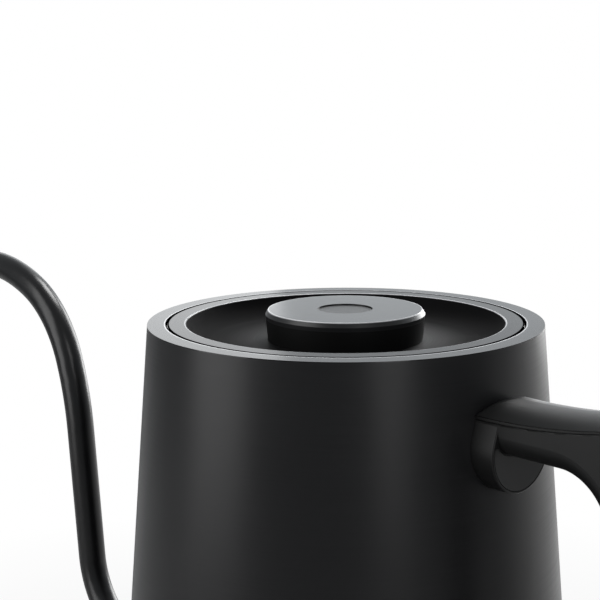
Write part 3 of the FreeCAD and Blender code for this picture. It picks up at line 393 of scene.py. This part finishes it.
def clear_view(tree):
    """Light Path node, and a socket that is 1 for rays of the eye and of glass."""
    ray = add(tree, "ShaderNodeLightPath")
    clear = add(tree, "ShaderNodeMath", {"operation": "MAXIMUM"}, in0=ray.outputs["Is Camera Ray"],
                in1=ray.outputs["Is Transmission Ray"])
    return ray, clear.outputs[0]


def lit_floor():
    """Pale studio floor that fades to plain white away from the kettle and keeps the shadow near it."""
    material, tree, output = new_material("pale_floor_paint")
    ray, clear = clear_view(tree)
    place = add(tree, "ShaderNodeTexCoord")
    direction = add(tree, "ShaderNodeVectorMath", {"operation": "NORMALIZE"}, in0=place.outputs["Object"])
    gloss = add(tree, "ShaderNodeMath", {"operation": "MULTIPLY"}, in0=ray.outputs["Is Glossy Ray"],
                in1=on_sweep(tree, direction.outputs[0]))
    plain = add(tree, "ShaderNodeMath", {"operation": "MAXIMUM"}, in0=clear, in1=gloss.outputs[0])
    reach = add(tree, "ShaderNodeVectorMath", {"operation": "LENGTH"}, in0=place.outputs["Object"])
    white = add(tree, "ShaderNodeMapRange", Value=reach.outputs["Value"], From_Min=FLOOR_FADE[0],
                From_Max=FLOOR_FADE[1], To_Min=FLOOR_NEAR_WHITE, To_Max=1.0)
    share = add(tree, "ShaderNodeMath", {"operation": "MULTIPLY"}, in0=plain.outputs[0], in1=white.outputs[0])
    paint = add(tree, "ShaderNodeBsdfDiffuse", Color="#9c9c9c")
    glow = add(tree, "ShaderNodeEmission", Color="#ffffff", Strength=1.0)
    both = add(tree, "ShaderNodeMixShader", in0=share.outputs[0], in1=paint.outputs[0], in2=glow.outputs[0])
    tree.links.new(both.outputs[0], output.inputs[0])
    return material


def make_floor():
    mesh = bpy.data.meshes.new("studio_floor")
    shape = bmesh.new()
    bmesh.ops.create_grid(shape, x_segments=1, y_segments=1, size=FLOOR_HALF)
    shape.to_mesh(mesh)
    shape.free()
    floor = bpy.data.objects.new("studio_floor", mesh)
    bpy.context.collection.objects.link(floor)
    mesh.materials.append(lit_floor())


def make_world():
    """White to the eye and glass. Gloss sees a white sweep behind the kettle and a greyer room in front."""
    world = bpy.data.worlds.new("studio")
    bpy.context.scene.world = world
    world.use_nodes = True
    tree = world.node_tree
    tree.nodes.clear()
    output = tree.nodes.new("ShaderNodeOutputWorld")
    ray, clear = clear_view(tree)
    towards = add(tree, "ShaderNodeTexCoord")
    sweep = add(tree, "ShaderNodeMix", in0=on_sweep(tree, towards.outputs["Generated"]), in2=ROOM_GREY,
                in3=1.0)
    gloss = add(tree, "ShaderNodeMix", in0=ray.outputs["Is Glossy Ray"], in2=AMBIENT, in3=sweep.outputs[0])
    level = add(tree, "ShaderNodeMix", in0=clear, in2=gloss.outputs[0], in3=1.0)
    # Daylight on the studio walls is a little cool. The eye still sees plain white.
    colour = add(tree, "ShaderNodeMix", COLOUR, in0=clear, in6="#f6fbff", in7="#ffffff")
    light = add(tree, "ShaderNodeBackground", Color=colour.outputs[2], Strength=level.outputs[0])
    tree.links.new(light.outputs[0], output.inputs[0])


def add_lamp(name, azimuth, height, distance, width, depth, power):
    """Soft box that faces the kettle."""
    angle = CAMERA_TURN + math.radians(90 - azimuth)
    spot = Vector((math.cos(angle) * distance, math.sin(angle) * distance, height))
    data = bpy.data.lights.new(name, "AREA")
    data.shape = "RECTANGLE"
    data.size, data.size_y = width, depth
    data.energy = power
    lamp = bpy.data.objects.new(name, data)
    aim = Vector((0, 0, LAMP_AIM)) - spot
    lamp.matrix_world = Matrix.Translation(spot) @ aim.to_track_quat("-Z", "Y").to_matrix().to_4x4()
    bpy.context.collection.objects.link(lamp)


def make_camera():
    """Looks down on the rim from the side between spout and handle."""
    level_ahead = Vector((math.sin(CAMERA_YAW), math.cos(CAMERA_YAW), 0))
    ahead = level_ahead * math.cos(CAMERA_PITCH) - Vector((0, 0, math.sin(CAMERA_PITCH)))
    level_right = Vector((math.cos(CAMERA_YAW), -math.sin(CAMERA_YAW), 0))
    level_up = level_right.cross(ahead)
    right = math.cos(CAMERA_ROLL) * level_right + math.sin(CAMERA_ROLL) * level_up
    up = -math.sin(CAMERA_ROLL) * level_right + math.cos(CAMERA_ROLL) * level_up
    turn = Matrix.Rotation(CAMERA_TURN, 3, "Z")
    axes = Matrix((turn @ right, turn @ up, turn @ -ahead)).transposed()
    back = Vector((0, -CAMERA_DISTANCE * math.cos(CAMERA_RISE), CAMERA_DISTANCE * math.sin(CAMERA_RISE)))
    place = turn @ back + Vector((0, 0, RIM_Z))
    data = bpy.data.cameras.new("camera")
    data.sensor_width = CAMERA_SENSOR
    data.lens = CAMERA_LENS
    camera = bpy.data.objects.new("camera", data)
    camera.matrix_world = Matrix.Translation(place) @ axes.to_4x4()
    bpy.context.collection.objects.link(camera)
    bpy.context.scene.camera = camera


make_floor()
make_world()
for lamp in LAMPS:
    add_lamp(*lamp)
make_camera()
bpy.context.scene.view_settings.view_transform = "Standard"
